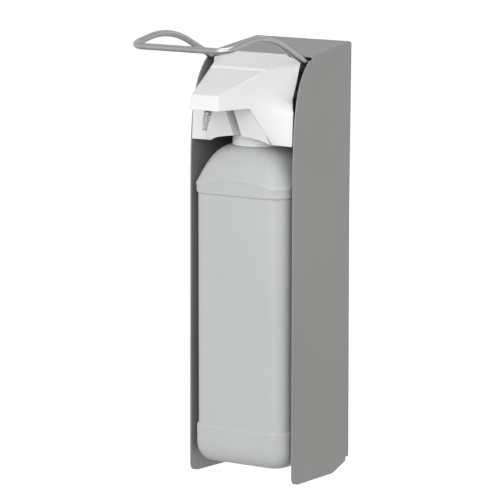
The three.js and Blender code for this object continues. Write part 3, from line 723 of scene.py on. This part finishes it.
cap_foot, cap_top = CAP_LOW[2] - FOOT - CAP_DROP, CAP_HIGH[2] - FOOT
way_up = np.linspace(0, 1, 60)
wall_z = cap_foot + 0.3 + (cap_top - cap_foot - 1.0) * way_up
wall_r = (CAP_RADIUS - 0.3 - CAP_TAPER * way_up
          + BEAD_RISE * np.abs(np.cos(way_up * np.pi * BEADS)) ** 0.5)
cap_profile = np.vstack([
    [[CAP_BORE, cap_foot], [CAP_RADIUS - 0.4, cap_foot]], np.column_stack([wall_r, wall_z]),
    [[wall_r[-1] - 0.6, cap_top], [CAP_HOLE, cap_top], [CAP_HOLE, CAP_CEILING],
     [CAP_BORE, CAP_CEILING]]])
cap_mesh = grid_mesh("screw_cap", turned_points(cap_profile, 96), True, True)
# Its finish is the bottle's plastic painted lighter, as painted light against the hood's shade.
add_piece("screw_cap", cap_mesh, "housing", finishes["cap_painted_light_plastic"],
          ["neck_cap"])

# %% [markdown]
# The spout is a steel tube that leaves the pump head, runs forward under the hood and turns
# down. A clear tapered tip is pushed over its end. Both are tubes with a wall: the path goes out
# on the outer radius and comes back on the inner one.

# %% Spout
SPOUT_START = np.array([0, PUMP_Y - 12.4, 296])
SPOUT_BEND, SPOUT_TIP = np.array([0, -120, 295.4]), np.array([0, -127.6, 271.6])
SPOUT_DROP, SPOUT_TURN = 14.0, 6.0
SPOUT_OUTER, SPOUT_INNER = 2.1, 1.3
TIP_FROM, TIP_TO, TIP_ROWS = 10.0, 25.0, 46
TIP_WIDE, TIP_TAPER, TIP_SOCKET, TIP_BORE = 2.9, 0.95, 2.35, 1.2
spout_down = (SPOUT_TIP - SPOUT_BEND) / np.linalg.norm(SPOUT_TIP - SPOUT_BEND)


def walled_tube(name, path, outer_radius, inner_radius, sides):
    """A tube with a wall, as one closed grid: out along the outside, back along the inside."""
    outer_wall = tube_points(path, outer_radius, sides, (1, 0, 0))
    inner_wall = tube_points(path, inner_radius, sides, (1, 0, 0))[::-1]
    return grid_mesh(name, np.vstack([outer_wall, inner_wall]), True, True)


spout_corners = [SPOUT_START, SPOUT_BEND, SPOUT_BEND + spout_down * SPOUT_DROP]
spout_path = evenly(rounded_path(spout_corners, [SPOUT_TURN]), 120)
add_piece("spout", walled_tube("spout", spout_path, SPOUT_OUTER, SPOUT_INNER, 28),
          "pump_head", finishes["bare_steel"], ["spout_tube"])

tip_path = SPOUT_BEND + spout_down * np.linspace(TIP_FROM, TIP_TO, TIP_ROWS)[:, None]
down = np.linspace(0, 1, TIP_ROWS)
tip_outer = TIP_WIDE - TIP_TAPER * smooth_step(down, 0.12, 1.0)
tip_outer[[0, -1]] -= 0.2
tip_inner = np.where(down < 0.28, TIP_SOCKET, TIP_BORE)
add_piece("tip", walled_tube("tip", tip_path, tip_outer, tip_inner, 36),
          "pump_head", finishes["clear_plastic"], ["spout_tip"])

# %% [markdown]
# The return spring is a helix, and it gets a mesh of its own.

# %% Return spring
SPRING_WIRE, SPRING_RADIUS, SPRING_TURNS = 0.45, 4.85, 7
spring_low, spring_high = extents("pump_spring")
spring_length = spring_high[2] - spring_low[2]
turns = np.linspace(0, SPRING_TURNS, SPRING_TURNS * 40 + 1)
coil_z = (spring_low[2] - FOOT + SPRING_WIRE
          + (spring_length - 2 * SPRING_WIRE) * turns / SPRING_TURNS)
helix = np.stack([SPRING_RADIUS * np.cos(2 * np.pi * turns),
                  PUMP_Y + SPRING_RADIUS * np.sin(2 * np.pi * turns), coil_z], -1)
spring_mesh = grid_mesh("return_spring", tube_points(helix, SPRING_WIRE, 10, (0, 0, 1)),
                        wrap_columns=True, close_ends=True)
spring = add_piece("return_spring", spring_mesh, "housing", finishes["bare_steel"],
                   ["pump_spring"])
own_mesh(spring)

# %% [markdown]
# The other working pieces have the right shape already. Their meshes stay as they are, and
# each gets its finish. Its hard edges are softened on a merged copy that stands for it.

# %% Softened copies of the working pieces
SHARP = 40
FRONT_WALL_Y, FRONT_WALL_EDGE, TUCK = -82.0, 15.0, 1.7


def softened_copy(node, slot, body, width, reshape=None):
    """A copy of a CAD node with its doubles merged, reshaped if asked, and its edges rounded."""
    mesh = frame["nodes"][node].data
    count = len(mesh.vertices)
    points = np.empty(count * 3, np.float32)
    mesh.vertices.foreach_get("co", points)
    triangles = np.empty(len(mesh.loops), int)
    mesh.loops.foreach_get("vertex_index", triangles)
    _, first, same = np.unique(np.round(points.reshape(-1, 3), 6), axis=0,
                               return_index=True, return_inverse=True)
    merged = bpy.data.meshes.new("soft_" + node)
    faces = same.reshape(-1)[triangles].reshape(-1, 3)
    faces = faces[(faces != np.roll(faces, 1, axis=1)).all(1)]
    places = points.reshape(-1, 3)[first].astype(float)
    merged.from_pydata((reshape(places) if reshape else places).tolist(), [], faces.tolist())
    piece = add_piece("soft_" + node, merged, body, finishes[slot], [node])
    merged.set_sharp_from_angle(angle=math.radians(SHARP))
    soften_edges(piece, width, SHARP)


slot_of = {row["node"]: row["material_slot"] for row in frame["record"]["subparts"]}
bodies = frame["record"]["behaviour"]["bodies"]
body_of = {node: body for body, nodes in bodies.items() for node in nodes}
remade = {"housing_shell", "lever_bow", "front_hood", "bottle", "neck_cap", "spout_tube",
          "spout_tip", "pump_spring"}


def tuck_under_hood(places):
    """Moves the outer edges of the front wall a little outwards, so they end inside the hood."""
    edge = (places[:, 1] < FRONT_WALL_Y * MM) & (np.abs(places[:, 0]) > FRONT_WALL_EDGE * MM)
    places[edge, 0] += np.sign(places[edge, 0]) * TUCK * MM
    return places


softened_copy("pump_carrier", "white_plastic", "housing", 0.25, tuck_under_hood)
for node in sorted(set(slot_of) - remade - {"pump_carrier"}):
    softened_copy(node, slot_of[node], body_of[node], 0.18)

# %% [markdown]
# The stage is a plain pale floor well below the dispenser, and a world that is brightest at the
# horizon and darker above and below. The floor sends no light back, so slopes and undersides
# keep their shade.

# %% Floor and world
FLOOR_HALF, FLOOR_Z = 30.0, -0.7
WORLD_GREYS = {"below": 0.44, "horizon": 0.95, "above": 0.53}

floor_mesh = bpy.data.meshes.new("floor")
floor_mesh.from_pydata([(x * FLOOR_HALF, y * FLOOR_HALF, FLOOR_Z)
                        for x, y in ((-1, -1), (1, -1), (1, 1), (-1, 1))], [], [(0, 1, 2, 3)])
floor = bpy.data.objects.new("floor", floor_mesh)
bpy.context.scene.collection.objects.link(floor)
floor_finish, _, _, floor_shader = new_finish("pale_floor", Roughness=0.9, Emission_Strength=0.42)
floor_shader.inputs["Base Color"].default_value = (0.96, 0.96, 0.96, 1)
floor_shader.inputs["Emission Color"].default_value = (1, 1, 1, 1)
floor_mesh.materials.append(floor_finish)
floor.visible_diffuse = False
floor.visible_glossy = False

world = bpy.data.worlds.new("studio")
world.use_nodes = True
sky_nodes, sky_links = world.node_tree.nodes, world.node_tree.links
direction = sky_nodes.new("ShaderNodeTexCoord")
parts = sky_nodes.new("ShaderNodeSeparateXYZ")
height = sky_nodes.new("ShaderNodeMapRange")
height.inputs["From Min"].default_value = -1.0
glow = sky_nodes.new("ShaderNodeValToRGB")
glow.color_ramp.interpolation = "EASE"
glow.color_ramp.elements.new(0.5)
for element, grey in zip(glow.color_ramp.elements, WORLD_GREYS.values()):
    element.color = (grey, grey, grey, 1)
sky_links.new(direction.outputs["Generated"], parts.inputs["Vector"])
sky_links.new(parts.outputs["Z"], height.inputs["Value"])
sky_links.new(height.outputs["Result"], glow.inputs["Fac"])
sky_links.new(glow.outputs["Color"], sky_nodes["Background"].inputs["Color"])
bpy.context.scene.world = world
bpy.context.scene.view_settings.view_transform = "Standard"
print("world", WORLD_GREYS)

# %% [markdown]
# Three soft square lamps. The strongest stands in front and a little above, so upright faces are
# brighter than the slopes. A small one stands to the right. The one overhead is seen only in
# reflections: it puts the highlight on the wire and leaves the matt plastics alone.

# %% Lamps
def soft_light(name, place, aim, size, power):
    """A square area light at a place, turned to face a point."""
    data = bpy.data.lights.new(name, "AREA")
    data.size = size
    data.energy = power
    lamp = bpy.data.objects.new(name, data)
    bpy.context.scene.collection.objects.link(lamp)
    away = np.asarray(place, float) - np.asarray(aim, float)
    away /= np.linalg.norm(away)
    side = np.cross((0, 0, 1), away)
    side /= np.linalg.norm(side)
    aim_object(lamp, side, np.cross(away, side), away, place)
    print("lamp", name, power, "W")
    return lamp


soft_light("key", (0.34, -1.87, 0.75), (0, -0.05, 0.05), 1.0, 14)
soft_light("side", (0.78, -0.85, 0.62), (0, -0.05, 0.08), 0.6, 2.2)
over = soft_light("over", (0.05, -0.2, 1.2), (0, -0.1, 0.1), 0.9, 6)
over.visible_diffuse = False
